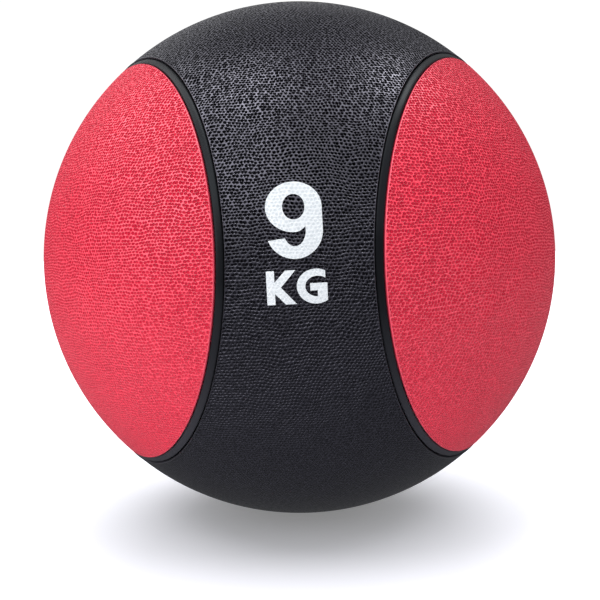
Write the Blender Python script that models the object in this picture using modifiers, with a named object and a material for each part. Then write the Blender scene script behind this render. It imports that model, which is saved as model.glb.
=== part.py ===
"""Rubber medicine ball, 280 mm across, 9 kg class.

The origin is the ball's centre. +Z runs through the black pole that holds the air valve,
and the front, with the weight mark, faces -Y. From the outside in, the ball is a skin
(black cover, three round red panels and their smooth border strips), a weighted wall in
two bowls, a wound thread carcass and an air bladder. A valve runs through it all at +Z.
"""

from math import acos, cos, degrees, pi, radians, sin, sqrt, tan

import bmesh
import bpy
from mathutils import Matrix, Vector

# Driving dimensions, in metres and degrees
BALL_RADIUS = 0.140
GAP = 0.0003  # between pieces that touch on the real ball
LAYER_GAP = 0.0004  # between one layer and the next, measured at their corners

SKIN_THICKNESS = 0.0040
WALL_THICKNESS = 0.0307
WINDING_THICKNESS = 0.0016
BLADDER_THICKNESS = 0.0022

PANEL_HALF_ANGLE = 45.3  # from the panel's own axis to its rim
STRIP_ANGLE = 1.75  # width of a border strip, seen from the ball's centre
PANEL_AZIMUTHS = {"left": -60.0, "right": 60.0, "back": 180.0}  # 0 is the front, +90 is +X

MARK_DEPTH = 0.0008  # of the white inlay
MARK_X = -0.0015
MARK_TILT = 1.8  # the mark sits this far anticlockwise of upright
NINE_CENTRE_Z = 0.0160
NINE_HALF_WIDTH, NINE_HALF_HEIGHT = 0.0117, 0.0160
NINE_BOWL_HALF_HEIGHT = 0.0105
NINE_TAIL_HALF_HEIGHT = 0.0117
NINE_UPRIGHT, NINE_LEVEL = 0.0071, 0.0052  # stroke widths of its sides and of its top
NINE_CORNER_WIDTH = 0.0073  # half width of the curve under the bowl, on the tail's side
NINE_TAIL_OUTER_END, NINE_TAIL_INNER_END = -161.0, -152.0
LETTERS_CENTRE_Z = -0.01155
LETTER_HEIGHT, LETTER_STROKE = 0.0140, 0.00335
K_LEFT, K_WIDTH = -0.01265, 0.0122  # from MARK_X
G_OUTER_X, G_OUTER_HALF_WIDTH, G_OUTER_HALF_HEIGHT = 0.00775, 0.00795, 0.0072
G_INNER_X, G_INNER_HALF_WIDTH, G_INNER_HALF_HEIGHT = 0.0084, 0.00513, 0.00425
G_ARM_X, G_SIDE_X = 0.0117, 0.01235  # ends of its upper arm and of its bar
G_BAR_LEFT, G_BAR_NOTCH = 0.0053, 0.0083
G_BAR_TOP, G_BAR_UNDER = 0.0013, -0.00175  # from LETTERS_CENTRE_Z

VALVE_TUBE_RADIUS = 0.0058
VALVE_COLLAR_RADIUS, VALVE_COLLAR_HEIGHT = 0.0078, 0.0032
VALVE_RECESS = 0.0008  # of the collar's flat face below the top of the ball
VALVE_FLANGE_RADIUS, VALVE_FLANGE_THICKNESS = 0.0130, 0.0020
VALVE_FLANGE_DROP = 0.0020  # below the bladder's inside, at the mouth
INSERT_RADIUS, INSERT_LENGTH = 0.0034, 0.0300
INSERT_DROP = 0.0006  # of its head below the collar's face
NEEDLE_RADIUS = 0.0007
FUNNEL_RADIUS, FUNNEL_DEPTH = 0.0020, 0.0012

STEPS, ROWS = 48, 24  # round the ball and from pole to pole, on the skin and the wall's outside
CORE_STEPS, CORE_ROWS = 24, 12  # the same for the layers inside
RIM_STEPS = 50  # round a panel
RIM_TURN = 2.0  # about the panel's axis, which keeps its corners off the skin's own edges
VALVE_STEPS = 24
CURVE_STEPS = 20  # in half a turn of a digit or letter

# Worked out from them
SKIN_INNER = BALL_RADIUS - SKIN_THICKNESS
WALL_OUTER = SKIN_INNER - LAYER_GAP
WALL_INNER = WALL_OUTER - WALL_THICKNESS
WINDING_OUTER = WALL_INNER - LAYER_GAP
WINDING_INNER = WINDING_OUTER - WINDING_THICKNESS
BLADDER_OUTER = WINDING_INNER - LAYER_GAP
BLADDER_INNER = BLADDER_OUTER - BLADDER_THICKNESS
GAP_ANGLE = degrees(GAP / SKIN_INNER)
STRIP_INNER_ANGLE = PANEL_HALF_ANGLE + GAP_ANGLE
STRIP_OUTER_ANGLE = STRIP_INNER_ANGLE + STRIP_ANGLE
COVER_HOLE_ANGLE = STRIP_OUTER_ANGLE + GAP_ANGLE

# Linear base colour and roughness
RUBBERS = {
    "black_rubber": ((0.022, 0.022, 0.025), 0.55),
    "smooth_black_rubber": ((0.030, 0.033, 0.036), 0.45),
    "red_rubber": ((0.80, 0.035, 0.075), 0.50),
    "white_print": ((0.83, 0.89, 0.91), 0.45),
    "weighted_rubber": ((0.055, 0.053, 0.050), 0.80),
    "nylon_thread": ((0.72, 0.68, 0.58), 0.60),
    "butyl_rubber": ((0.035, 0.030, 0.030), 0.50),
    "valve_rubber": ((0.028, 0.028, 0.030), 0.60),
}


def clear_scene():
    for obj in list(bpy.data.objects):
        bpy.data.objects.remove(obj)


def new_collection(name):
    collection = bpy.data.collections.new(name)
    bpy.context.scene.collection.children.link(collection)
    return collection


def material(name):
    found = bpy.data.materials.get(name)
    if found:
        return found
    colour, roughness = RUBBERS[name]
    made = bpy.data.materials.new(name)
    made.use_nodes = True
    shader = made.node_tree.nodes["Principled BSDF"]
    shader.inputs["Base Color"].default_value = (*colour, 1)
    shader.inputs["Roughness"].default_value = roughness
    shader.inputs["Metallic"].default_value = 0
    return made


def piece(name, mesh, material_name):
    obj = bpy.data.objects.new(name, mesh)
    bpy.data.collections["medicine_ball"].objects.link(obj)
    mesh.materials.append(material(material_name))
    return obj


def cutter(name, mesh):
    obj = bpy.data.objects.new(name, mesh)
    bpy.data.collections["cutters"].objects.link(obj)
    obj.hide_render = True
    obj.display_type = "WIRE"
    return obj


def cut(obj, other, operation="DIFFERENCE"):
    modifier = obj.modifiers.new(f"{operation.lower()} {other.name}", "BOOLEAN")
    modifier.operation = operation
    modifier.solver = "EXACT"
    modifier.object = other


# Turned shapes


def arc(radius, start, end, rows):
    """Points (x, z) round the ball's centre, from start to end in degrees down from +Z."""
    angles = [radians(start + (end - start) * i / rows) for i in range(rows + 1)]
    return [(radius * sin(a), radius * cos(a)) for a in angles]


def edge_of_hole(radius, hole):
    """Where a hole of this radius round +Z meets a sphere."""
    return hole, sqrt(radius**2 - hole**2)


def profile_mesh(name, points, closed=False):
    mesh = bpy.data.meshes.new(name)
    edges = [(i, i + 1) for i in range(len(points) - 1)]
    if closed:
        edges.append((len(points) - 1, 0))
    mesh.from_pydata([(x, 0, z) for x, z in points], edges, [])
    return mesh


def turn(obj, steps):
    """Turns an object's outline about Z, smooth except at its corners."""
    screw = obj.modifiers.new("turn", "SCREW")
    screw.steps = screw.render_steps = steps
    screw.use_merge_vertices = True
    screw.merge_threshold = 1e-5
    screw.use_smooth_shade = True
    return obj


def hollow_profile(outer, inner, hole, rows):
    """Up the inside from the lower pole, over the lip of the hole and down the outside."""
    row = 180 / rows
    inside = [(0, -inner)] + arc(inner, 180 - row, row, rows - 2) + [edge_of_hole(inner, hole)]
    outside = [edge_of_hole(outer, hole)] + arc(outer, row, 180 - row, rows - 2) + [(0, -outer)]
    return inside + outside


def skin_blank(name, material_name, inner=SKIN_INNER):
    """The skin as one hollow ball, open at the top round the valve's collar."""
    profile = hollow_profile(BALL_RADIUS, inner, VALVE_COLLAR_RADIUS + GAP, ROWS)
    return turn(piece(name, profile_mesh(name, profile), material_name), STEPS)


def solid_ball(name, radius, hole, steps, rows):
    """A ball as a cutter, flat inside the hole's rim, so that it's parallel to a hollow one."""
    row = 180 / rows
    rim = edge_of_hole(radius, hole)
    profile = [(0, rim[1]), rim] + arc(radius, row, 180 - row, rows - 2) + [(0, -radius)]
    return turn(cutter(name, profile_mesh(name, profile)), steps)


# The skin: cover, panels and border strips


def cone(name, half_angle, azimuth):
    """A cone from the ball's centre that marks out a round patch of the skin."""
    length = 1.2 * BALL_RADIUS
    shape = bmesh.new()
    bmesh.ops.create_cone(
        shape,
        segments=RIM_STEPS,
        radius1=length * tan(radians(half_angle)),
        radius2=0,
        depth=length,
        cap_ends=True,
    )
    bmesh.ops.remove_doubles(shape, verts=shape.verts, dist=1e-6)
    mesh = bpy.data.meshes.new(name)
    shape.to_mesh(mesh)
    shape.free()
    obj = cutter(name, mesh)
    axis = Vector((sin(radians(azimuth)), -cos(radians(azimuth)), 0))
    point_inwards = (-axis).to_track_quat("Z", "Y").to_matrix().to_4x4()
    point_inwards @= Matrix.Rotation(radians(RIM_TURN), 4, "Z")
    obj.matrix_world = Matrix.Translation(axis * length / 2) @ point_inwards
    return obj


def make_skin():
    cover = skin_blank("cover", "black_rubber")
    for side, azimuth in PANEL_AZIMUTHS.items():
        cut(cover, cone(f"hole_for_{side}", COVER_HOLE_ANGLE, azimuth))
        strip = skin_blank(f"border_strip_{side}", "smooth_black_rubber")
        cut(strip, cone(f"strip_outer_{side}", STRIP_OUTER_ANGLE, azimuth), "INTERSECT")
        cut(strip, cone(f"strip_inner_{side}", STRIP_INNER_ANGLE, azimuth))
        panel = skin_blank(f"panel_{side}", "red_rubber")
        cut(panel, cone(f"rim_{side}", PANEL_HALF_ANGLE, azimuth), "INTERSECT")
    return cover


# The weight mark. Outlines are drawn in the XZ plane, as seen from the front.


def ellipse(centre, half_axes, start, end):
    """Points from start to end in degrees, anticlockwise when end is the larger."""
    count = max(4, round(CURVE_STEPS * abs(end - start) / 180))
    angles = [radians(start + (end - start) * i / count) for i in range(count + 1)]
    (x, z), (a, b) = centre, half_axes
    return [(x + a * cos(t), z + b * sin(t)) for t in angles]


def nine():
    """A round bowl whose right side runs on down into a tail that turns back under it."""
    bowl_centre = (0, NINE_CENTRE_Z + NINE_HALF_HEIGHT - NINE_BOWL_HALF_HEIGHT)
    tail_centre = (0, NINE_CENTRE_Z - NINE_HALF_HEIGHT + NINE_TAIL_HALF_HEIGHT)
    bowl = (NINE_HALF_WIDTH, NINE_BOWL_HALF_HEIGHT)
    tail = (NINE_HALF_WIDTH, NINE_TAIL_HALF_HEIGHT)
    counter = (bowl[0] - NINE_UPRIGHT, bowl[1] - NINE_LEVEL)
    hollow = (tail[0] - NINE_UPRIGHT, tail[1] - NINE_LEVEL)
    corner = (NINE_CORNER_WIDTH, NINE_BOWL_HALF_HEIGHT)
    corner_end = 360 - degrees(acos(hollow[0] / corner[0]))
    outline = ellipse(bowl_centre, bowl, 0, 270)
    outline += ellipse(bowl_centre, corner, 270, corner_end)[1:]
    outline += ellipse(tail_centre, hollow, 0, NINE_TAIL_INNER_END)
    outline += ellipse(tail_centre, tail, NINE_TAIL_OUTER_END, 0)
    return [outline, ellipse(bowl_centre, counter, 360, 0)[:-1]]


def letter_k():
    """An upright stem, with an arm to the upper right and a leg to the lower right."""
    stem = LETTER_STROKE / K_WIDTH
    corners = [
        (0, 0),
        (stem, 0),
        (stem, 0.321),
        (0.627, 0),
        (0.996, 0),
        (0.484, 0.503),
        (1, 1),
        (0.652, 1),
        (stem, 0.657),
        (stem, 1),
        (0, 1),
    ]
    low = LETTERS_CENTRE_Z - LETTER_HEIGHT / 2
    return [[(K_LEFT + x * K_WIDTH, low + z * LETTER_HEIGHT) for x, z in corners]]


def letter_g():
    """An open round, cut off upright at its arm, with a bar in to its middle."""
    outer = (G_OUTER_HALF_WIDTH, G_OUTER_HALF_HEIGHT)
    inner = (G_INNER_HALF_WIDTH, G_INNER_HALF_HEIGHT)
    outer_centre = (G_OUTER_X, LETTERS_CENTRE_Z)
    inner_centre = (G_INNER_X, LETTERS_CENTRE_Z)
    arm_outer = degrees(acos((G_ARM_X - G_OUTER_X) / outer[0]))
    arm_inner = degrees(acos((G_ARM_X - G_INNER_X) / inner[0]))
    side = 360 - degrees(acos((G_SIDE_X - G_OUTER_X) / outer[0]))
    notch = 360 - degrees(acos((G_BAR_NOTCH - G_INNER_X) / inner[0]))
    bar_top = LETTERS_CENTRE_Z + G_BAR_TOP
    bar_under = LETTERS_CENTRE_Z + G_BAR_UNDER
    bar = [
        (G_SIDE_X, bar_top),
        (G_BAR_LEFT, bar_top),
        (G_BAR_LEFT, bar_under),
        (G_BAR_NOTCH, bar_under),
    ]
    outline = ellipse(outer_centre, outer, arm_outer, side) + bar
    return [outline + ellipse(inner_centre, inner, notch, arm_inner)]


def prism(name, loops, grow):
    """The outlines as a bar along Y through the front of the skin, each side moved out by grow."""
    curve = bpy.data.curves.new(name, "CURVE")
    curve.dimensions = "2D"
    curve.fill_mode = "BOTH"
    curve.extrude = 4 * SKIN_THICKNESS
    curve.offset = grow
    tilt = Matrix.Rotation(radians(MARK_TILT), 2)
    for loop in loops:
        spline = curve.splines.new("POLY")
        spline.points.add(len(loop) - 1)
        spline.use_cyclic_u = True
        for point, place in zip(spline.points, loop):
            point.co = (*(tilt @ Vector(place)), 0, 1)
    drawn = bpy.data.objects.new(name, curve)
    bpy.data.collections["cutters"].objects.link(drawn)
    bpy.context.view_layer.update()
    mesh = bpy.data.meshes.new_from_object(drawn.evaluated_get(bpy.context.evaluated_depsgraph_get()))
    bpy.data.objects.remove(drawn)
    shape = bmesh.new()
    shape.from_mesh(mesh)
    bmesh.ops.remove_doubles(shape, verts=shape.verts, dist=1e-6)
    bmesh.ops.recalc_face_normals(shape, faces=shape.faces)
    shape.to_mesh(mesh)
    shape.free()
    obj = cutter(name, mesh)
    obj.location = (MARK_X, -BALL_RADIUS, 0)
    obj.rotation_euler.x = pi / 2
    return obj


def make_weight_mark(cover):
    """Thin white inlays, flush with the cover, each in a pocket of its own shape."""
    floor = BALL_RADIUS - MARK_DEPTH - GAP
    under = solid_ball("pocket_floor", floor, VALVE_COLLAR_RADIUS + GAP, STEPS, ROWS)
    for name, loops in (("9", nine()), ("k", letter_k()), ("g", letter_g())):
        inlay = skin_blank(f"weight_mark_{name}", "white_print", BALL_RADIUS - MARK_DEPTH)
        cut(inlay, prism(f"outline_{name}", loops, 0), "INTERSECT")
        pocket = prism(f"pocket_{name}", loops, GAP)
        cut(pocket, under)
        cut(cover, pocket)


# The layers inside


def make_weighted_shell():
    """Two thick bowls that meet round the middle. The valve's tube passes through the upper."""
    hole = VALVE_TUBE_RADIUS + GAP
    core = solid_ball("wall_core", WALL_INNER, hole, CORE_STEPS, CORE_ROWS)
    row = 180 / ROWS
    rows = ROWS // 2 - 2
    seam = GAP / 2
    upper = [edge_of_hole(WALL_OUTER, hole)] + arc(WALL_OUTER, row, 90 - row, rows)
    upper += [(WALL_OUTER, seam), (hole, seam)]
    lower = [(0, -seam), (WALL_OUTER, -seam)]
    lower += arc(WALL_OUTER, 90 + row, 180 - row, rows) + [(0, -WALL_OUTER)]
    for name, profile, closed in (("upper", upper, True), ("lower", lower, False)):
        name = f"weighted_shell_{name}"
        bowl = piece(name, profile_mesh(name, profile, closed), "weighted_rubber")
        cut(turn(bowl, STEPS), core)


def make_inner_layers():
    hole = VALVE_TUBE_RADIUS + GAP
    for name, outer, inner, material_name in (
        ("thread_winding", WINDING_OUTER, WINDING_INNER, "nylon_thread"),
        ("bladder", BLADDER_OUTER, BLADDER_INNER, "butyl_rubber"),
    ):
        profile = hollow_profile(outer, inner, hole, CORE_ROWS)
        turn(piece(name, profile_mesh(name, profile), material_name), CORE_STEPS)


def make_valve():
    """A flanged tube bonded inside the bladder's mouth, and the needle plug that fills it."""
    face = BALL_RADIUS - VALVE_RECESS
    collar_under = face - VALVE_COLLAR_HEIGHT
    flange_top = BLADDER_INNER - VALVE_FLANGE_DROP
    flange_under = flange_top - VALVE_FLANGE_THICKNESS
    bore = INSERT_RADIUS + GAP
    housing = [
        (bore, face),
        (VALVE_COLLAR_RADIUS, face),
        (VALVE_COLLAR_RADIUS, collar_under),
        (VALVE_TUBE_RADIUS, collar_under),
        (VALVE_TUBE_RADIUS, flange_top),
        (VALVE_FLANGE_RADIUS, flange_top),
        (VALVE_FLANGE_RADIUS, flange_under),
        (bore, flange_under),
    ]
    head = face - INSERT_DROP
    insert = [
        (FUNNEL_RADIUS, head),
        (INSERT_RADIUS, head),
        (INSERT_RADIUS, head - INSERT_LENGTH),
        (NEEDLE_RADIUS, head - INSERT_LENGTH),
        (NEEDLE_RADIUS, head - FUNNEL_DEPTH),
    ]
    for name, profile in (("valve_housing", housing), ("valve_insert", insert)):
        turn(piece(name, profile_mesh(name, profile, closed=True), "valve_rubber"), VALVE_STEPS)


clear_scene()
new_collection("medicine_ball")
new_collection("cutters")
make_weight_mark(make_skin())
make_weighted_shell()
make_inner_layers()
make_valve()
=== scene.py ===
"""Looks for the 9 kg medicine ball: a grained black cover, three grained red panels, their smooth
border strips, the white weight mark and the air valve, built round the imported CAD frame.
Lengths are in metres and angles in degrees, in the frame's own axes: -Y is the front, +Z is up."""

from math import acos, asin, cos, degrees, pi, radians, sin, sqrt

import bmesh
import bpy
from mathutils import Matrix, Vector
from mathutils.geometry import delaunay_2d_cdt


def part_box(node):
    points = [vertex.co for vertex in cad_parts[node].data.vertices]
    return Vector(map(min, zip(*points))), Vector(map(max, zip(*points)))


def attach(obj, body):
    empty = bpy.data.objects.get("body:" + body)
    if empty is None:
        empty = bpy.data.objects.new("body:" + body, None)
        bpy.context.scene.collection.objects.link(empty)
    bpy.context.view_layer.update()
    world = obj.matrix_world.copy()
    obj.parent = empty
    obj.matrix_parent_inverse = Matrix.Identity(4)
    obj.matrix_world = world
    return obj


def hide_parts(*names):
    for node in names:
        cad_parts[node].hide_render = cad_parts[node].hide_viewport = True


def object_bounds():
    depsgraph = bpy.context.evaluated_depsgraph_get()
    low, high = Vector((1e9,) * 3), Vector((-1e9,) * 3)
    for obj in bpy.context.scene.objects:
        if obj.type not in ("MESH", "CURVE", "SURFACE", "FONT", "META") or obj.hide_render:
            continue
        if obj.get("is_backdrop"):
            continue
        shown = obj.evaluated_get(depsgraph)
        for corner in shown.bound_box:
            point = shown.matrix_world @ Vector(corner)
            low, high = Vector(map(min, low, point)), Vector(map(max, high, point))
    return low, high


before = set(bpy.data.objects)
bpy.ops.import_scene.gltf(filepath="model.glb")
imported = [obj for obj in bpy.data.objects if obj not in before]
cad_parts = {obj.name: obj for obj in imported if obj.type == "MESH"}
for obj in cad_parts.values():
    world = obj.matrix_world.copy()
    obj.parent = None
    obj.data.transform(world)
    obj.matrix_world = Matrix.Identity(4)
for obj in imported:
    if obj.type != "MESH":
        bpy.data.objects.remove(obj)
CAD_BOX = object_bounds()

# ---------------------------------------------------------------- sizes, taken from the frame


def half_width(node):
    """Half the width of a node along X."""
    low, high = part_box(node)
    return (high.x - low.x) / 2


BALL_RADIUS = (CAD_BOX[1].x - CAD_BOX[0].x) / 2
UP = Vector((0, 0, 1))

# The back panel's axis is +Y, so its width gives the angle from that axis to its rim.
PANEL_ANGLE = degrees(asin(half_width("panel_back") / BALL_RADIUS))
STRIP_OUTER_ANGLE = degrees(asin(half_width("border_strip_back") / BALL_RADIUS))
PIECE_GAP = 0.0003
GAP_ANGLE = degrees(PIECE_GAP / BALL_RADIUS)
STRIP_INNER_ANGLE = PANEL_ANGLE + GAP_ANGLE
HOLE_ANGLE = STRIP_OUTER_ANGLE + GAP_ANGLE
PANEL_AZIMUTHS = {"left": -60, "right": 60, "back": 180}
BRIDGE_AZIMUTHS = (0, 120, 240)

COVER_THICKNESS = 0.0040
SKIN_INNER = BALL_RADIUS - COVER_THICKNESS
VALVE_HOLE = 0.0081
VALVE_LIP = 0.0005

# ---------------------------------------------------------------- mesh helpers

SAME_PLACE = 0.000002  # points this close are one point
DECIMALS = 6  # of a metre, by which points are told apart while a mesh is collected
EDGE_STEPS = 4  # sides in each rounded corner of the valve and its hole


def make_object(name, vertices, faces, closed=True):
    """A smooth mesh object. A closed one has its points joined and its faces turned outward."""
    mesh = bpy.data.meshes.new(name)
    mesh.from_pydata([tuple(v) for v in vertices], [], faces)
    mesh.validate()
    if closed:
        body = bmesh.new()
        body.from_mesh(mesh)
        bmesh.ops.remove_doubles(body, verts=body.verts, dist=SAME_PLACE)
        bmesh.ops.recalc_face_normals(body, faces=body.faces)
        body.to_mesh(mesh)
        body.free()
    mesh.shade_smooth()
    piece = bpy.data.objects.new(name, mesh)
    bpy.context.scene.collection.objects.link(piece)
    return piece


class Shell:
    """Collects points and faces, joining points that fall on the same spot."""

    def __init__(self):
        self.points = []
        self.index = {}
        self.faces = []

    def point(self, p):
        key = tuple(round(c, DECIMALS) for c in p)
        if key not in self.index:
            self.index[key] = len(self.points)
            self.points.append(Vector(p))
        return self.index[key]

    def face(self, corners):
        """Adds a face, unless its corners fall together."""
        ids = []
        for corner in corners:
            i = self.point(corner)
            if i not in ids:
                ids.append(i)
        if len(ids) >= 3:
            self.faces.append(ids)

    def strip(self, first, second, closed=True):
        """Adds the faces between two rows of points."""
        count = len(first)
        for i in range(count if closed else count - 1):
            j = (i + 1) % count
            self.face([first[i], first[j], second[j], second[i]])

    def sweep(self, rings):
        """Adds the faces between each closed ring and the next."""
        for first, second in zip(rings, rings[1:]):
            self.strip(first, second)


def panel_axis(azimuth):
    """The direction from the ball's centre through a panel's middle."""
    turn = radians(azimuth)
    return Vector((sin(turn), -cos(turn), 0))


def round_axis(axis, angle, turn, radius):
    """The point at an angle from a level axis, turned round it from the side towards the top."""
    side = UP.cross(axis)
    a, t = radians(angle), radians(turn)
    return radius * (cos(a) * axis + sin(a) * (cos(t) * side + sin(t) * UP))


def ring(axis, angle, radius, turns):
    """One ring of points round a level axis."""
    return [round_axis(axis, angle, t, radius) for t in turns]


def level_rings(profile, count):
    """Rings of points round Z, one for each (radius, height) of the profile."""
    turns = [2 * pi * i / count for i in range(count)]
    return [[Vector((r * sin(t), -r * cos(t), z)) for t in turns] for r, z in profile]


def slerp(a, b, t):
    """The point at share t of the great circle arc from a to b, at a's distance from the centre."""
    omega = a.angle(b)
    return (a * sin((1 - t) * omega) + b * sin(t * omega)) / sin(omega)


# ---------------------------------------------------------------- cover

SECTOR_WIDTH = 60  # degrees from the middle of a bridge to a panel's middle
SECTOR_ROWS = 72  # steps round the panel hole's edge, from the equator to its top
MERIDIAN_ROWS = 64  # of these, those up the bridge's middle. The rest go round the valve hole
SECTOR_COLUMNS = 30

# (angle beyond the hole's wall, height above the ball's radius): a low raised rim, then the wall.
COVER_LIP = (
    (0.30, 0.0),
    (0.25, 0.00003),
    (0.20, 0.00009),
    (0.15, 0.00013),
    (0.10, 0.00010),
    (0.05, -0.00004),
    (0.015, -0.00030),
    (0.0, -0.00080),
    (0.0, -0.0022),
)
LIP_ANGLE = HOLE_ANGLE + COVER_LIP[0][0]


def sector_rows(radius, hole_angle, valve_radius):
    """Rows of points over a twelfth of the cover: azimuth 0 to 60, from the equator up.
    Each row runs from the bridge's centre line, or the valve hole, to the panel hole's edge."""
    axis = panel_axis(SECTOR_WIDTH)
    pole_angle = asin(valve_radius / radius)
    rows = []
    for i in range(SECTOR_ROWS + 1):
        if i <= MERIDIAN_ROWS:
            tilt = pi / 2 - (pi / 2 - pole_angle) * i / MERIDIAN_ROWS
            turn = 0.0
        else:
            tilt = pole_angle
            turn = radians(SECTOR_WIDTH) * (i - MERIDIAN_ROWS) / (SECTOR_ROWS - MERIDIAN_ROWS)
        start = radius * Vector((sin(tilt) * sin(turn), -sin(tilt) * cos(turn), cos(tilt)))
        end = round_axis(axis, hole_angle, 180 - 90 * i / SECTOR_ROWS, radius)
        count = SECTOR_COLUMNS
        rows.append([slerp(start, end, j / count) for j in range(count + 1)])
    return rows


def six_copies(rows, upper):
    """The rows of one sector turned and mirrored to all six sectors above or below the equator."""
    for bridge in BRIDGE_AZIMUTHS:
        turn = Matrix.Rotation(radians(bridge), 3, "Z")
        for mirror in (1, -1):
            flip = Matrix.Diagonal((mirror, 1, 1 if upper else -1))
            yield [[turn @ (flip @ p) for p in row] for row in rows]


def build_cover():
    """The outer moulding: grained skin, raised rim and wall at each panel hole, inner face."""
    shell = Shell()
    skin = (BALL_RADIUS, LIP_ANGLE, VALVE_HOLE + VALVE_LIP)
    inner_face = (SKIN_INNER, HOLE_ANGLE, VALVE_HOLE)
    for radius, hole, valve in (skin, inner_face):
        for upper in (True, False):
            rows = sector_rows(radius, hole, valve if upper else 0.0)
            for patch in six_copies(rows, upper):
                for first, second in zip(patch, patch[1:]):
                    shell.strip(first, second, closed=False)
    turns = [90 * i / SECTOR_ROWS for i in range(4 * SECTOR_ROWS)]
    lip = [(HOLE_ANGLE + a, BALL_RADIUS + h) for a, h in COVER_LIP] + [(HOLE_ANGLE, SKIN_INNER)]
    for azimuth in PANEL_AZIMUTHS.values():
        shell.sweep([ring(panel_axis(azimuth), a, r, turns) for a, r in lip])
    shell.sweep(valve_hole_rings())
    return make_object("ball_cover", shell.points, shell.faces)


def valve_hole_rings():
    """The rounded edge and wall of the hole in the cover that the valve stands in."""
    edge = VALVE_HOLE + VALVE_LIP
    height = sqrt(BALL_RADIUS**2 - edge**2)
    profile = []
    for i in range(EDGE_STEPS + 1):
        a = radians(90 * i / EDGE_STEPS)
        profile.append((edge - VALVE_LIP * sin(a), height - VALVE_LIP * (1 - cos(a))))
    profile.append((VALVE_HOLE, sqrt(SKIN_INNER**2 - VALVE_HOLE**2)))
    points_in_skin = 6 * (SECTOR_ROWS - MERIDIAN_ROWS)
    return level_rings(profile, points_in_skin)


# ---------------------------------------------------------------- panels and border strips

RIM_POINTS = 288  # round each panel and strip
RIM_TURNS = [360 * i / RIM_POINTS for i in range(RIM_POINTS)]
CAP_RINGS = 40  # from a panel's middle to its shoulder

# (angle inside the rim, height): the panel's surface ends in a smooth rounded shoulder.
PANEL_SHOULDER = (
    (0.40, 0.0),
    (0.30, 0.00001),
    (0.22, 0.00001),
    (0.16, -0.00002),
    (0.11, -0.00008),
    (0.06, -0.00020),
    (0.03, -0.00034),
    (0.01, -0.00056),
    (0.0, -0.0009),
    (0.0, -0.0022),
)

# (share of the strip's width, height): half of a low crowned band with a groove at its side.
STRIP_SIDE = (
    (0.0, -0.00200),
    (0.02, -0.00160),
    (0.05, -0.00115),
    (0.085, -0.00078),
    (0.13, -0.00057),
    (0.20, -0.00047),
    (0.34, -0.00042),
)
STRIP_MIDDLE = (0.50, -0.00041)


def turned(name, axis, profile):
    """A solid swept round a panel's axis. profile is (angle, radius) from the middle outward."""
    shell = Shell()
    shell.sweep([ring(axis, a, r, RIM_TURNS) for a, r in profile])
    return make_object(name, shell.points, shell.faces)


def panel_profile():
    """From the middle of the outer face over the rim to the middle of the inner face."""
    last = PANEL_ANGLE - PANEL_SHOULDER[0][0]
    outer = [(last * i / CAP_RINGS, BALL_RADIUS) for i in range(CAP_RINGS)]
    rim = [(PANEL_ANGLE - a, BALL_RADIUS + h) for a, h in PANEL_SHOULDER]
    count = CAP_RINGS // 2
    inner = [(PANEL_ANGLE * (count - i) / count, SKIN_INNER) for i in range(count + 1)]
    return outer + rim + inner


def strip_profile():
    """A closed loop: over the crowned top, and back along the underside to where it starts."""
    width = STRIP_OUTER_ANGLE - STRIP_INNER_ANGLE
    far_side = [(1 - share, height) for share, height in reversed(STRIP_SIDE)]
    shape = [*STRIP_SIDE, STRIP_MIDDLE, *far_side]
    top = [(STRIP_INNER_ANGLE + s * width, BALL_RADIUS + h) for s, h in shape]
    return top + [(STRIP_OUTER_ANGLE, SKIN_INNER), (STRIP_INNER_ANGLE, SKIN_INNER), top[0]]


# ---------------------------------------------------------------- weight mark

MARK_X = -0.0015  # the mark stands a little left of the middle
MARK_TILT = 1.8
NINE_CENTRE_Z = 0.0160
NINE_HALF_WIDTH, NINE_HALF_HEIGHT = 0.0117, 0.0160
NINE_BOWL_HALF_HEIGHT = 0.0105
NINE_TAIL_HALF_HEIGHT = 0.0117
NINE_UPRIGHT, NINE_LEVEL = 0.0071, 0.0052  # stroke widths of its sides and of its top
NINE_CORNER_WIDTH = 0.0073  # half width of the curve under the bowl, on the tail's side
NINE_TAIL_OUTER_END, NINE_TAIL_INNER_END = -161.0, -152.0
LETTERS_CENTRE_Z = -0.01155
LETTER_HEIGHT, LETTER_STROKE = 0.0140, 0.00335
K_LEFT, K_WIDTH = -0.01265, 0.0122  # from MARK_X
G_OUTER_X, G_OUTER_HALF_WIDTH, G_OUTER_HALF_HEIGHT = 0.00775, 0.00795, 0.0072
G_INNER_X, G_INNER_HALF_WIDTH, G_INNER_HALF_HEIGHT = 0.0084, 0.00513, 0.00425
G_ARM_X, G_SIDE_X = 0.0117, 0.01235  # ends of its upper arm and of its bar
G_BAR_LEFT, G_BAR_NOTCH = 0.0053, 0.0083
G_BAR_TOP, G_BAR_UNDER = 0.0013, -0.00175  # from LETTERS_CENTRE_Z
CURVE_STEPS = 56  # in half an ellipse
INK_BELOW, INK_ABOVE = 0.00001, 0.00011  # the film's faces, over the cover's surface
INK_CREASE = 40  # sharper edges stay sharp, so that the film's sides don't shade its top
INK_STEP = 0.0011  # between the points of its mesh
INK_CLEARANCE = 0.55 * INK_STEP  # between a point inside and the outline
LEAST_TRIANGLE = 1e-10  # square metres
POINT_TOLERANCE = 1e-7


def ellipse(centre, half_axes, start, end):
    """Points along an ellipse from one angle to another."""
    count = max(4, round(CURVE_STEPS * abs(end - start) / 180))
    angles = [radians(start + (end - start) * i / count) for i in range(count + 1)]
    (x, z), (a, b) = centre, half_axes
    return [(x + a * cos(t), z + b * sin(t)) for t in angles]


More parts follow.
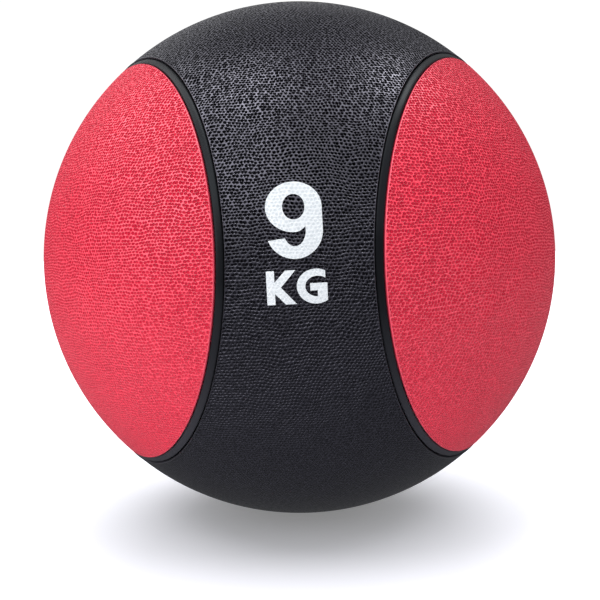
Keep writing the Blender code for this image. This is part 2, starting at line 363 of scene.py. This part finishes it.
def nine():
    """A round bowl whose right side runs on down into a tail that turns back under it."""
    bowl_centre = (0, NINE_CENTRE_Z + NINE_HALF_HEIGHT - NINE_BOWL_HALF_HEIGHT)
    tail_centre = (0, NINE_CENTRE_Z - NINE_HALF_HEIGHT + NINE_TAIL_HALF_HEIGHT)
    bowl = (NINE_HALF_WIDTH, NINE_BOWL_HALF_HEIGHT)
    tail = (NINE_HALF_WIDTH, NINE_TAIL_HALF_HEIGHT)
    counter = (bowl[0] - NINE_UPRIGHT, bowl[1] - NINE_LEVEL)
    hollow = (tail[0] - NINE_UPRIGHT, tail[1] - NINE_LEVEL)
    corner = (NINE_CORNER_WIDTH, NINE_BOWL_HALF_HEIGHT)
    corner_end = 360 - degrees(acos(hollow[0] / corner[0]))
    outline = ellipse(bowl_centre, bowl, 0, 270)
    outline += ellipse(bowl_centre, corner, 270, corner_end)[1:]
    outline += ellipse(tail_centre, hollow, 0, NINE_TAIL_INNER_END)
    outline += ellipse(tail_centre, tail, NINE_TAIL_OUTER_END, 0)
    return [outline, ellipse(bowl_centre, counter, 360, 0)[:-1]]


def letter_k():
    """An upright stem, with an arm to the upper right and a leg to the lower right."""
    stem = LETTER_STROKE / K_WIDTH
    corners = [
        (0, 0),
        (stem, 0),
        (stem, 0.321),
        (0.627, 0),
        (0.996, 0),
        (0.484, 0.503),
        (1, 1),
        (0.652, 1),
        (stem, 0.657),
        (stem, 1),
        (0, 1),
    ]
    low = LETTERS_CENTRE_Z - LETTER_HEIGHT / 2
    return [[(K_LEFT + x * K_WIDTH, low + z * LETTER_HEIGHT) for x, z in corners]]


def letter_g():
    """An open round, cut off upright at its arm, with a bar in to its middle."""
    outer = (G_OUTER_HALF_WIDTH, G_OUTER_HALF_HEIGHT)
    inner = (G_INNER_HALF_WIDTH, G_INNER_HALF_HEIGHT)
    outer_centre = (G_OUTER_X, LETTERS_CENTRE_Z)
    inner_centre = (G_INNER_X, LETTERS_CENTRE_Z)
    arm_outer = degrees(acos((G_ARM_X - G_OUTER_X) / outer[0]))
    arm_inner = degrees(acos((G_ARM_X - G_INNER_X) / inner[0]))
    side = 360 - degrees(acos((G_SIDE_X - G_OUTER_X) / outer[0]))
    notch = 360 - degrees(acos((G_BAR_NOTCH - G_INNER_X) / inner[0]))
    bar_top = LETTERS_CENTRE_Z + G_BAR_TOP
    bar_under = LETTERS_CENTRE_Z + G_BAR_UNDER
    bar = [
        (G_SIDE_X, bar_top),
        (G_BAR_LEFT, bar_top),
        (G_BAR_LEFT, bar_under),
        (G_BAR_NOTCH, bar_under),
    ]
    outline = ellipse(outer_centre, outer, arm_outer, side) + bar
    return [outline + ellipse(inner_centre, inner, notch, arm_inner)]


def subdivided(outline, step):
    """The outline with extra points on its long sides, about a step apart."""
    points = []
    for a, b in zip(outline, outline[1:] + outline[:1]):
        a, b = Vector(a), Vector(b)
        count = max(1, round((b - a).length / step))
        points += [a.lerp(b, i / count) for i in range(count)]
    return points


def inside(point, loops):
    """True if the point is inside the outline and outside its holes."""
    hit = False
    for loop in loops:
        for a, b in zip(loop, loop[1:] + loop[:1]):
            if (a.y > point.y) != (b.y > point.y):
                if point.x < a.x + (point.y - a.y) * (b.x - a.x) / (b.y - a.y):
                    hit = not hit
    return hit


def in_print(corners, loops):
    """True for a triangle inside the outline. One with no area, along a straight side, is not."""
    a, b, c = corners
    return abs((b - a).cross(c - a)) / 2 > LEAST_TRIANGLE and inside((a + b + c) / 3, loops)


def mark_turn(point):
    """A point of the drawn mark, moved and tilted as it stands on the ball."""
    tilt = radians(MARK_TILT)
    x, z = point
    return (MARK_X + x * cos(tilt) - z * sin(tilt), x * sin(tilt) + z * cos(tilt))


def on_front(point, radius):
    """The point on the front of a sphere that has these X and Z."""
    x, z = point
    return Vector((x, -sqrt(radius**2 - x * x - z * z), z))


def filled(loops):
    """Points and triangles that fill the space between the loops evenly."""
    rim = []
    edges = []
    for loop in loops:
        start, count = len(rim), len(loop)
        rim += loop
        edges += [(start + i, start + (i + 1) % count) for i in range(count)]
    low = Vector((min(p.x for p in rim), min(p.y for p in rim)))
    high = Vector((max(p.x for p in rim), max(p.y for p in rim)))
    points = list(rim)
    for i in range(int((high.x - low.x) / INK_STEP) + 1):
        for j in range(int((high.y - low.y) / INK_STEP) + 1):
            p = low + Vector((i + 0.5 * (j % 2), j)) * INK_STEP
            if inside(p, loops) and min((p - q).length for q in rim) > INK_CLEARANCE:
                points.append(p)
    flat, _, faces, *_ = delaunay_2d_cdt(points, edges, [], 0, POINT_TOLERANCE)
    return flat, [f for f in faces if in_print([flat[i] for i in f], loops)]


def open_sides(faces):
    """The sides that only one of the faces has."""
    users = {}
    for face in faces:
        for side in zip(face, list(face[1:]) + [face[0]]):
            users.setdefault(frozenset(side), []).append(side)
    return [sides[0] for sides in users.values() if len(sides) == 1]


def build_ink(name, outlines):
    """A thin film of print that lies on the cover, with a fine even mesh."""
    loops = [subdivided([mark_turn(p) for p in o], INK_STEP) for o in outlines]
    flat, faces = filled(loops)
    top = [on_front(p, BALL_RADIUS + INK_ABOVE) for p in flat]
    under = [on_front(p, BALL_RADIUS + INK_BELOW) for p in flat]
    shell = Shell()
    for face in faces:
        shell.face([top[i] for i in face])
        shell.face([under[i] for i in face])
    for a, b in open_sides(faces):
        shell.face([top[a], top[b], under[b], under[a]])
    film = make_object(name, shell.points, shell.faces)
    film.data.set_sharp_from_angle(angle=radians(INK_CREASE))
    return film


# ---------------------------------------------------------------- valve

VALVE_STEPS = 96
COLLAR_RADIUS, COLLAR_HEIGHT = 0.0078, 0.0032
TUBE_RADIUS = 0.0058
FLANGE_THICKNESS = 0.0020
NEEDLE_RADIUS = 0.0007
FUNNEL_RADIUS, FUNNEL_DEPTH = 0.0020, 0.0012
HOUSING_ROUNDING, PLUG_ROUNDING = 0.00025, 0.00022
SHARE_OF_SIDE = 0.45  # the most of a side that the rounding at one end may take


def lathe(name, profile):
    """A solid turned about Z. profile is (radius, height), a closed loop clear of the axis."""
    shell = Shell()
    shell.sweep(level_rings(profile + profile[:1], VALVE_STEPS))
    return make_object(name, shell.points, shell.faces)


def rounded(profile, size):
    """The loop with each corner rounded by up to size."""
    result = []
    for i, point in enumerate(profile):
        corner = Vector(point)
        before = Vector(profile[i - 1]) - corner
        after = Vector(profile[(i + 1) % len(profile)]) - corner
        cut = min(size, SHARE_OF_SIDE * before.length, SHARE_OF_SIDE * after.length)
        start = corner + before.normalized() * cut
        end = corner + after.normalized() * cut
        for k in range(EDGE_STEPS + 1):
            t = k / EDGE_STEPS
            p = start.lerp(corner, t).lerp(corner.lerp(end, t), t)
            result.append((p.x, p.y))
    return result


def build_housing():
    """The valve's tube, with a foot on the bladder and a flat collar at the ball's surface."""
    low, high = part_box("valve_housing")
    face, under = high.z, low.z
    flange = half_width("valve_housing")
    bore = half_width("valve_insert") + PIECE_GAP
    profile = [
        (bore, face),
        (COLLAR_RADIUS, face),
        (COLLAR_RADIUS, face - COLLAR_HEIGHT),
        (TUBE_RADIUS, face - COLLAR_HEIGHT),
        (TUBE_RADIUS, under + FLANGE_THICKNESS),
        (flange, under + FLANGE_THICKNESS),
        (flange, under),
        (bore, under),
    ]
    return lathe("valve_collar_and_tube", rounded(profile, HOUSING_ROUNDING))


def build_needle_plug():
    """The soft plug in the tube, with a hole for the needle and a funnel that leads to it."""
    low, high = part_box("valve_insert")
    plug = half_width("valve_insert")
    profile = [
        (FUNNEL_RADIUS, high.z),
        (plug, high.z),
        (plug, low.z),
        (NEEDLE_RADIUS, low.z),
        (NEEDLE_RADIUS, high.z - FUNNEL_DEPTH),
    ]
    return lathe("valve_needle_plug", rounded(profile, PLUG_ROUNDING))


# ---------------------------------------------------------------- materials


class Tree:
    """Adds nodes to one material."""

    def __init__(self, name):
        self.material = bpy.data.materials.new(name)
        self.material.use_nodes = True
        self.nodes = self.material.node_tree.nodes
        self.links = self.material.node_tree.links
        self.nodes.clear()

    def add(self, kind, **settings):
        node = self.nodes.new(kind)
        for key, value in settings.items():
            setattr(node, key, value)
        return node

    def put(self, value, socket):
        """Links a socket to another, or sets it to a number or colour."""
        if isinstance(value, bpy.types.NodeSocket):
            self.links.new(value, socket)
        else:
            socket.default_value = value

    def math(self, operation, *values):
        node = self.add("ShaderNodeMath", operation=operation)
        for value, socket in zip(values, node.inputs):
            self.put(value, socket)
        return node.outputs[0]

    def ramp(self, value, low, high, to_low=0.0, to_high=1.0, smooth=True):
        """Value mapped from low..high to to_low..to_high, held at both ends."""
        node = self.add("ShaderNodeMapRange", clamp=True)
        node.interpolation_type = "SMOOTHSTEP" if smooth else "LINEAR"
        for item, socket in zip((value, low, high, to_low, to_high), node.inputs):
            self.put(item, socket)
        return node.outputs[0]

    def mix(self, factor, first, second):
        """One colour at factor 0 and the other at 1."""
        node = self.add("ShaderNodeMix", data_type="RGBA")
        self.put(factor, node.inputs[0])
        self.put(first, node.inputs[6])
        self.put(second, node.inputs[7])
        return node.outputs[2]

    def place(self):
        """The point's position in the frame."""
        return self.add("ShaderNodeTexCoord").outputs["Object"]

    def split(self, vector):
        """The vector's x, y and z."""
        node = self.add("ShaderNodeSeparateXYZ")
        self.put(vector, node.inputs[0])
        return node.outputs[:]

    def length(self, vector):
        node = self.add("ShaderNodeVectorMath", operation="LENGTH")
        self.put(vector, node.inputs[0])
        return node.outputs["Value"]

    def dot(self, vector, direction):
        node = self.add("ShaderNodeVectorMath", operation="DOT_PRODUCT")
        self.put(vector, node.inputs[0])
        node.inputs[1].default_value = direction
        return node.outputs["Value"]

    def noise(self, place, scale, detail=2.0, roughness=0.5):
        node = self.add("ShaderNodeTexNoise")
        self.put(place, node.inputs["Vector"])
        self.put(scale, node.inputs["Scale"])
        self.put(detail, node.inputs["Detail"])
        self.put(roughness, node.inputs["Roughness"])
        return node.outputs[0]

    def bump(self, height, strength, distance, normal=None):
        node = self.add("ShaderNodeBump")
        self.put(strength, node.inputs["Strength"])
        self.put(distance, node.inputs["Distance"])
        self.put(height, node.inputs["Height"])
        if normal is not None:
            self.put(normal, node.inputs["Normal"])
        return node.outputs[0]

    def surface(self, color, roughness, normal, specular=0.5, tint=(1, 1, 1, 1), glow=0.0):
        """The finished material."""
        shader = self.add("ShaderNodeBsdfPrincipled")
        self.put(color, shader.inputs["Base Color"])
        self.put(roughness, shader.inputs["Roughness"])
        self.put(normal, shader.inputs["Normal"])
        self.put(specular, shader.inputs["Specular IOR Level"])
        shader.inputs["Specular Tint"].default_value = tint
        shader.inputs["Emission Color"].default_value = (1, 1, 1, 1)
        shader.inputs["Emission Strength"].default_value = glow
        output = self.add("ShaderNodeOutputMaterial")
        self.links.new(shader.outputs[0], output.inputs[0])
        return self.material


GRAIN_ROW = 0.00145  # from one row of pits to the next
GRAIN_PITCH = 0.00170  # from one pit to the next along a row
GRAIN_STAGGER = 0.5  # pits, from each row to the next
GRAIN_WANDER = 3.0  # how far the net of pits strays from an even one, in pits
ACROSS_WANDER_SCALE, ALONG_WANDER_SCALE = 70.0, 55.0
LEAST_PITS = 3.0  # in the row nearest a pole
PIT_SHIFT = 0.32  # chance shift of a pit, as a share of its cell
PIT_EDGE, PIT_EDGE_CHANCE = 0.94, 0.30  # where a pit ends, in half cells, and what chance adds
PIT_FLOOR = 0.46  # where its flat floor ends
PIT_SHALLOWEST = 0.78
DEPTH_CHANCE_SCALE = 7.3  # makes a second chance number out of the first
GRAIN_LOW_Z, GRAIN_HIGH_Z = -0.115, 0.035  # the grain and its painted pit shade fade between these heights
GRAIN_LEAST = 0.36


def grain_cell(tree, place):
    """The cell of the net of pits that a point is in: its row, its column counted round that row,
    and the point's place in the cell, -0.5 to 0.5 along the row and across it."""
    x, y, z = tree.split(place)
    polar = tree.math("ARCCOSINE", tree.math("DIVIDE", z, tree.length(place)))
    across = tree.math("MULTIPLY", polar, BALL_RADIUS / GRAIN_ROW)
    stray = tree.noise(place, ACROSS_WANDER_SCALE, 1.0)
    across = tree.math("MULTIPLY_ADD", stray, GRAIN_WANDER, across)
    row = tree.math("FLOOR", across)
    row_polar = tree.math("MULTIPLY", tree.math("ADD", row, 0.5), GRAIN_ROW / BALL_RADIUS)
    pits_at_equator = 2 * pi * BALL_RADIUS / GRAIN_PITCH
    around = tree.math("MULTIPLY", tree.math("SINE", row_polar), pits_at_equator)
    count = tree.math("MAXIMUM", tree.math("ROUND", around), LEAST_PITS)
    front = tree.math("MULTIPLY", y, -1.0)
    turn = tree.math("DIVIDE", tree.math("ARCTAN2", x, front), 2 * pi)
    along = tree.math("MULTIPLY_ADD", turn, count, tree.math("MULTIPLY", row, GRAIN_STAGGER))
    stray = tree.noise(place, ALONG_WANDER_SCALE, 1.0)
    along = tree.math("MULTIPLY_ADD", stray, GRAIN_WANDER, along)
    column = tree.math("FLOORED_MODULO", tree.math("FLOOR", along), count)
    share_along = tree.math("SUBTRACT", tree.math("FRACT", along), 0.5)
    share_across = tree.math("SUBTRACT", tree.math("FRACT", across), 0.5)
    return row, column, share_along, share_across


def cell_chances(tree, row, column):
    """Three chance numbers from 0 to 1 for each cell."""
    cell = tree.add("ShaderNodeCombineXYZ")
    tree.put(row, cell.inputs[0])
    tree.put(column, cell.inputs[1])
    chance = tree.add("ShaderNodeTexWhiteNoise", noise_dimensions="2D")
    tree.put(cell.outputs[0], chance.inputs["Vector"])
    parts = tree.add("ShaderNodeSeparateColor")
    tree.put(chance.outputs["Color"], parts.inputs[0])
    return parts.outputs[:]


def grain(tree, place):
    """The moulded grain: rows of small round pits in the ball's skin, each row half a pit beside
    the last. The rows wander, and each pit has a chance shift, size and depth. Gives the height,
    from 0 at the bottom of the deepest pits to 1. The pits, and so their painted shade, are made
    shallower towards the lower pole, standing in for the flatter light there."""
    row, column, along, across = grain_cell(tree, place)
    chance_along, chance_across, chance_size = cell_chances(tree, row, column)
    squares = []
    for share, chance in ((along, chance_along), (across, chance_across)):
        shift = tree.math("MULTIPLY_ADD", chance, PIT_SHIFT, -PIT_SHIFT / 2)
        offset = tree.math("MULTIPLY", tree.math("SUBTRACT", share, shift), 2.0)
        squares.append(tree.math("MULTIPLY", offset, offset))
    distance = tree.math("SQRT", tree.math("ADD", *squares))
    edge = tree.math("MULTIPLY_ADD", chance_size, PIT_EDGE_CHANCE, PIT_EDGE)
    pit = tree.ramp(distance, edge, PIT_FLOOR)
    chance_depth = tree.math("FRACT", tree.math("MULTIPLY", chance_size, DEPTH_CHANCE_SCALE))
    depth = tree.math("MULTIPLY_ADD", chance_depth, 1 - PIT_SHALLOWEST, PIT_SHALLOWEST)
    height = tree.split(place)[2]
    # the pits and their painted shade fade low down, standing in for the flatter light there
    fade = tree.ramp(height, GRAIN_LOW_Z, GRAIN_HIGH_Z, GRAIN_LEAST, 1.0)
    pit = tree.math("MULTIPLY", tree.math("MULTIPLY", pit, depth), fade)
    return tree.math("SUBTRACT", 1.0, pit)


def rim_share(tree, place, start, end):
    """0 before the angle start from the nearest panel's axis, 1 after end."""
    nearest = None
    for azimuth in PANEL_AZIMUTHS.values():
        value = tree.dot(place, panel_axis(azimuth))
        nearest = value if nearest is None else tree.math("MAXIMUM", nearest, value)
    share = tree.math("DIVIDE", nearest, tree.length(place))
    angle = tree.math("MULTIPLY", tree.math("ARCCOSINE", share), 180 / pi)
    return tree.ramp(angle, start, end)


MOTTLE_SCALE, MOTTLE_SHADE = 9.0, 0.93
MOTTLE_BAND = (0.35, 0.65)  # the part of a noise that its two shades are spread over
MOTTLE_ROUGHNESS = 0.03
PIT_ROUGHNESS = 0.12
PIT_SHINE = 0.25  # pits deeper than this don't shine, as painted shade in them
FINE_SCALE, FINE_STRENGTH, FINE_DEPTH = 1400.0, 0.25, 0.00002


def grained_rubber(
    name, color, pit_shade_color, rim_highlight_color, roughness, grain_depth, smooth_band, specular, tint
):
    """Rubber with the moulded grain, which fades out over a narrow band at the rim.
    The pits are painted darker as painted shade, and the rim band paler as a painted highlight.
    """
    tree = Tree(name)
    place = tree.place()
    # the rim band, where the grain fades out, takes a paler colour: a painted highlight
    fade = rim_share(tree, place, *smooth_band)
    shown = tree.math("MULTIPLY", tree.math("SUBTRACT", 1.0, grain(tree, place)), fade)
    height = tree.math("SUBTRACT", 1.0, shown)
    mottle = tree.ramp(tree.noise(place, MOTTLE_SCALE, 4.0), *MOTTLE_BAND)
    light = tree.mix(mottle, [c * MOTTLE_SHADE for c in color[:3]] + [1], color)
    # the pits take a darker colour: painted shade in them
    tone = tree.mix(height, pit_shade_color, tree.mix(fade, rim_highlight_color, light))
    rough = tree.math("MULTIPLY_ADD", height, -PIT_ROUGHNESS, roughness + PIT_ROUGHNESS)
    uneven = tree.ramp(mottle, 0.0, 1.0, -MOTTLE_ROUGHNESS, MOTTLE_ROUGHNESS, smooth=False)
    rough = tree.math("ADD", rough, uneven)
    normal = tree.bump(height, 1.0, grain_depth)
    normal = tree.bump(tree.noise(place, FINE_SCALE), FINE_STRENGTH, FINE_DEPTH, normal)
    shine = tree.ramp(height, PIT_SHINE, 1.0, 0.0, specular, smooth=False)
    return tree.surface(tone, rough, normal, shine, tint)


CLOUD_SCALE = 22.0
SPECK_SCALE, SPECK_BAND, SPECK_SHARE = 900.0, (0.55, 0.75), 0.25
SKIN_SCALE, SKIN_STRENGTH, SKIN_DEPTH = 1800.0, 0.3, 0.00003
SMOOTHER, ROUGHER = 0.04, 0.06  # how far the roughness strays each way
PAINTED_LIGHT_LOW_Z, PAINTED_LIGHT_HIGH_Z = -0.105, -0.010  # the strips are painted paler below these heights, as painted light on their lower side


def smooth_rubber(name, color, worn, roughness, specular=0.5, tint=(1, 1, 1, 1), low=None):
    """Plain moulded rubber with faint mottling and a fine satin skin.
    low is its colour towards the ball's lower pole, painted paler there as painted light."""
    tree = Tree(name)
    place = tree.place()
    cloud = tree.ramp(tree.noise(place, CLOUD_SCALE, 5.0), *MOTTLE_BAND)
    specks = tree.ramp(tree.noise(place, SPECK_SCALE), *SPECK_BAND)
    tone = tree.mix(cloud, color, worn)
    tone = tree.mix(tree.math("MULTIPLY", specks, SPECK_SHARE), tone, worn)
    if low is not None:
        # paler towards the lower pole: painted light
        height = tree.split(place)[2]
        tone = tree.mix(tree.ramp(height, PAINTED_LIGHT_LOW_Z, PAINTED_LIGHT_HIGH_Z), low, tone)
    rough = tree.ramp(cloud, 0.0, 1.0, roughness - SMOOTHER, roughness + ROUGHER, smooth=False)
    normal = tree.bump(tree.noise(place, SKIN_SCALE, 3.0), SKIN_STRENGTH, SKIN_DEPTH)
    return tree.surface(tone, rough, normal, specular, tint)


INK, INK_BRIGHT = (0.53, 0.555, 0.565, 1), (0.57, 0.595, 0.605, 1)
# painted shade in the pits
INK_PIT_SHADE = (0.42, 0.455, 0.475, 1)
INK_CLOUD_SCALE, INK_CLOUD_BAND = 60.0, (0.3, 0.7)
INK_PIT_TOP = 0.6  # above this height in the grain the ink has no painted pit shade and is at its whitest
INK_GRAIN_DEPTH = 0.00016


def print_ink(name):
    """White ink that follows the grain under it, painted greyer in the pits as painted shade."""
    tree = Tree(name)
    place = tree.place()
    height = grain(tree, place)
    cloud = tree.ramp(tree.noise(place, INK_CLOUD_SCALE, 4.0), *INK_CLOUD_BAND)
    solid = tree.mix(cloud, INK, INK_BRIGHT)
    # greyer in the pits: painted shade
    tone = tree.mix(tree.ramp(height, 0.0, INK_PIT_TOP), INK_PIT_SHADE, solid)
    normal = tree.bump(height, 1.0, INK_GRAIN_DEPTH)
    rough = tree.ramp(height, 0.0, 1.0, 0.6, 0.45, smooth=False)
    return tree.surface(tone, rough, normal)


THREAD, THREAD_SHADOW = (0.74, 0.70, 0.60, 1), (0.34, 0.30, 0.23, 1)
THREAD_TURNS = ((0.4, 0.9, 0.1), (2.1, 0.3, 1.2), (1.2, 2.0, 0.7))  # radians, of the three layers
THREAD_SCALE, THREAD_DISTORTION = 260.0, 1.5
LAYER_SCALE, LAYER_BAND = 30.0, (0.45, 0.55)  # patches where the second layer lies on top
LOWEST_LAYER = 0.8
THREAD_DEPTH = 0.0004


def thread(name):
    """Nylon thread wound round the bladder in crossing bands."""
    tree = Tree(name)
    place = tree.place()
    layers = []
    for turn in THREAD_TURNS:
        mapping = tree.add("ShaderNodeMapping")
        tree.put(place, mapping.inputs["Vector"])
        mapping.inputs["Rotation"].default_value = turn
        wave = tree.add("ShaderNodeTexWave", wave_type="BANDS", bands_direction="X")
        tree.put(mapping.outputs[0], wave.inputs["Vector"])
        wave.inputs["Scale"].default_value = THREAD_SCALE
        wave.inputs["Distortion"].default_value = THREAD_DISTORTION
        layers.append(wave.outputs["Fac"])
    patches = tree.ramp(tree.noise(place, LAYER_SCALE, 1.0), *LAYER_BAND)
    woven = tree.math("MAXIMUM", layers[0], tree.math("MULTIPLY", layers[1], patches))
    woven = tree.math("MAXIMUM", woven, tree.math("MULTIPLY", layers[2], LOWEST_LAYER))
    tone = tree.mix(woven, THREAD_SHADOW, THREAD)
    rough = tree.ramp(woven, 0.0, 1.0, 0.9, 0.7, smooth=False)
    return tree.surface(tone, rough, tree.bump(woven, 0.8, THREAD_DEPTH))


def cad_material(node, material):
    """Gives a CAD node that stays in view its finished material."""
    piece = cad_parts[node]
    for slot in piece.material_slots:
        slot.material = material
    if not piece.material_slots:
        piece.data.materials.append(material)


def dress(piece, material, node_names):
    """Material, body and CAD nodes of a new piece."""
    piece.data.materials.append(material)
    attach(piece, "root")
    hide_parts(*node_names)


# ---------------------------------------------------------------- stage, light and camera

CAMERA_DISTANCE = 3.55 * BALL_RADIUS
CAMERA_ELEVATION = 0.3
CAMERA_ROLL = -1.15
LENS, SENSOR = 52.3, 36  # in millimetres
SHIFT = (0.0008, -0.0716)  # shares of the picture's width
NEAR, FAR = 0.01, 200

WORLD_FILL = 0.145  # the surround's strength as a light
WORLD_SEEN = 1.05  # and as the camera sees it
FILL_COLOR = (0.95, 0.97, 1, 1)
FLOOR_GLOW = 0.225
FLOOR_HALF, FLOOR_SQUARES = 30.0, 24  # half its width, and its squares each way
FLOOR_PALE, FLOOR_PALEST = (0.87, 0.87, 0.94, 1), (0.89, 0.89, 0.96, 1)
FLOOR_SPECULAR = 0.2

# name: (azimuth, elevation, spread in degrees, strength)
BALL_LIGHTS = {
    "front": (-22, 36, 40, 1.28),
    "low_left": (-58, 18, 40, 1.30),
    "high_left": (-100, 45, 40, 1.25),
    "high_right": (95, 58, 18, 1.20),
    "high_front_left": (-50, 70, 30, 1.62),
    "high_front_right": (50, 65, 30, 0.70),
    "back": (-172, 30, 36, 0.15),
    "back_left": (-135, 30, 40, 0.12),
    "back_right": (135, 40, 40, 0.12),
}
FLOOR_LIGHTS = {
    "floor_top": (0, 90, 140, 1.80),
    "floor_left": (-90, 69, 55, 1.60),
    "floor_right": (90, 69, 55, 1.30),
    "floor_back": (180, 47, 50, 1.20),
}


def add_camera():
    """The camera at the front, level with the ball's middle."""
    data = bpy.data.cameras.new("camera")
    camera = bpy.data.objects.new("camera", data)
    bpy.context.scene.collection.objects.link(camera)
    rise = radians(CAMERA_ELEVATION)
    camera.location = CAMERA_DISTANCE * Vector((0, -cos(rise), sin(rise)))
    aim = (-camera.location).to_track_quat("-Z", "Y").to_matrix()
    roll = Matrix.Rotation(radians(CAMERA_ROLL), 3, "Z")
    camera.rotation_euler = (aim @ roll).to_euler()
    data.lens = LENS
    data.sensor_width = SENSOR
    data.shift_x, data.shift_y = SHIFT
    data.clip_start, data.clip_end = NEAR, FAR
    bpy.context.scene.camera = camera


def add_light(name, receivers, azimuth, elevation, spread, strength):
    """A soft distant light on these receivers. azimuth is 0 at the front and grows rightward."""
    data = bpy.data.lights.new(name, "SUN")
    data.energy = strength
    data.angle = radians(spread)
    light = bpy.data.objects.new(name, data)
    rise = radians(elevation)
    light.location = 2 * (cos(rise) * panel_axis(azimuth) + sin(rise) * UP)
    light.rotation_euler = (-light.location).to_track_quat("-Z", "Y").to_euler()
    light.light_linking.receiver_collection = receivers
    bpy.context.scene.collection.objects.link(light)


def add_lights(lights, receivers):
    """These lights, shining only on these objects."""
    group = bpy.data.collections.new("lit_by_" + min(lights))
    for piece in receivers:
        group.objects.link(piece)
    for name, settings in lights.items():
        add_light(name, group, *settings)


def floor_material():
    """Faintly uneven matte white, with a little light of its own."""
    tree = Tree("pale_floor")
    place = tree.place()
    cloud = tree.noise(place, 3.0, 3.0)
    tone = tree.mix(cloud, FLOOR_PALE, FLOOR_PALEST)
    rough = tree.ramp(cloud, 0.3, 0.7, 0.78, 0.86)
    normal = tree.bump(tree.noise(place, 300.0), 0.05, 0.0002)
    return tree.surface(tone, rough, normal, FLOOR_SPECULAR, glow=FLOOR_GLOW)


def add_floor():
    """A wide plain pale floor under the ball."""
    low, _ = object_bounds()
    steps = [FLOOR_HALF * (2 * i / FLOOR_SQUARES - 1) for i in range(FLOOR_SQUARES + 1)]
    points = [(x, y, low.z) for x in steps for y in steps]
    row = len(steps)
    corners = [i * row + j for i in range(FLOOR_SQUARES) for j in range(FLOOR_SQUARES)]
    faces = [(a, a + row, a + row + 1, a + 1) for a in corners]
    floor = make_object("floor", points, faces, closed=False)
    floor.data.materials.append(floor_material())
    floor.visible_glossy = False
    floor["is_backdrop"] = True
    return floor


def add_world():
    """A white surround behind the floor, and a faint even fill on everything."""
    world = bpy.data.worlds.new("surround")
    bpy.context.scene.world = world
    world.use_nodes = True
    nodes, links = world.node_tree.nodes, world.node_tree.links
    nodes.clear()
    mix = nodes.new("ShaderNodeMixShader")
    path = nodes.new("ShaderNodeLightPath")
    links.new(path.outputs["Is Camera Ray"], mix.inputs[0])
    for socket, color, strength in ((1, FILL_COLOR, WORLD_FILL), (2, (1, 1, 1, 1), WORLD_SEEN)):
        background = nodes.new("ShaderNodeBackground")
        background.inputs["Color"].default_value = color
        background.inputs["Strength"].default_value = strength
        links.new(background.outputs[0], mix.inputs[socket])
    output = nodes.new("ShaderNodeOutputWorld")
    links.new(mix.outputs[0], output.inputs[0])


# ---------------------------------------------------------------- the ball

BLACK = (0.0140, 0.0136, 0.0182, 1)
# painted shade in the pits
BLACK_PIT_SHADE = (0.0008, 0.0008, 0.0010, 1)
# painted highlight along the rim of each panel hole
BLACK_RIM_HIGHLIGHT = (0.020, 0.0195, 0.0235, 1)
BLACK_TINT = (0.84, 0.82, 1.0, 1)
RED = (0.77, 0.025, 0.058, 1)
# painted shade in the pits
RED_PIT_SHADE = (0.35, 0.009, 0.024, 1)
# painted highlight along each panel's rim
RED_RIM_HIGHLIGHT = (0.68, 0.050, 0.085, 1)
RED_TINT = (0.93, 0.91, 1.0, 1)
STRIP, STRIP_WORN = (0.0052, 0.0054, 0.0064, 1), (0.0085, 0.0089, 0.0106, 1)
# painted light: the strips' lower side is painted paler
STRIP_LOW_PAINTED_LIGHT = (0.0340, 0.0332, 0.0392, 1)
STRIP_TINT = (0.84, 0.95, 1.0, 1)
STRIP_SPECULAR = 0.10
VALVE, VALVE_WORN = (0.022, 0.022, 0.024, 1), (0.040, 0.040, 0.042, 1)
WALL, WALL_WORN = (0.045, 0.043, 0.040, 1), (0.075, 0.072, 0.066, 1)
BUTYL, BUTYL_WORN = (0.026, 0.022, 0.022, 1), (0.042, 0.036, 0.035, 1)

black = grained_rubber(
    "black_grained_rubber",
    BLACK,
    BLACK_PIT_SHADE,
    BLACK_RIM_HIGHLIGHT,
    roughness=0.34,
    grain_depth=0.0007,
    smooth_band=(HOLE_ANGLE + 0.12, HOLE_ANGLE + 0.28),
    specular=0.95,
    tint=BLACK_TINT,
)
red = grained_rubber(
    "red_grained_rubber",
    RED,
    RED_PIT_SHADE,
    RED_RIM_HIGHLIGHT,
    roughness=0.42,
    grain_depth=0.0009,
    smooth_band=(PANEL_ANGLE - 0.12, PANEL_ANGLE - 0.30),
    specular=0.82,
    tint=RED_TINT,
)
strip_rubber = smooth_rubber(
    "smooth_border_rubber", STRIP, STRIP_WORN, 0.34, STRIP_SPECULAR, STRIP_TINT, STRIP_LOW_PAINTED_LIGHT
)
ink = print_ink("white_ink")
valve_rubber = smooth_rubber("valve_rubber", VALVE, VALVE_WORN, 0.62)
wall_rubber = smooth_rubber("weighted_rubber", WALL, WALL_WORN, 0.80)
butyl_rubber = smooth_rubber("butyl_rubber", BUTYL, BUTYL_WORN, 0.42)

dress(build_cover(), black, ["cover"])
for side, azimuth in PANEL_AZIMUTHS.items():
    axis = panel_axis(azimuth)
    panel = turned(f"ball_panel_{side}", axis, panel_profile())
    dress(panel, red, [f"panel_{side}"])
    panel.visible_diffuse = False  # keeps the panels' red light off the pale floor
    border = turned(f"ball_border_{side}", axis, strip_profile())
    dress(border, strip_rubber, [f"border_strip_{side}"])
for letter, outlines in (("9", nine()), ("k", letter_k()), ("g", letter_g())):
    film = build_ink(f"ink_{letter}", outlines)
    dress(film, ink, [f"weight_mark_{letter}"])
dress(build_housing(), valve_rubber, ["valve_housing"])
dress(build_needle_plug(), valve_rubber, ["valve_insert"])
cad_material("weighted_shell_upper", wall_rubber)
cad_material("weighted_shell_lower", wall_rubber)
cad_material("thread_winding", thread("nylon_thread"))
cad_material("bladder", butyl_rubber)

ball_pieces = [o for o in bpy.data.objects if o.type == "MESH"]
add_lights(BALL_LIGHTS, ball_pieces)
add_lights(FLOOR_LIGHTS, [add_floor()])
add_world()
add_camera()
bpy.context.scene.view_settings.view_transform = "Standard"
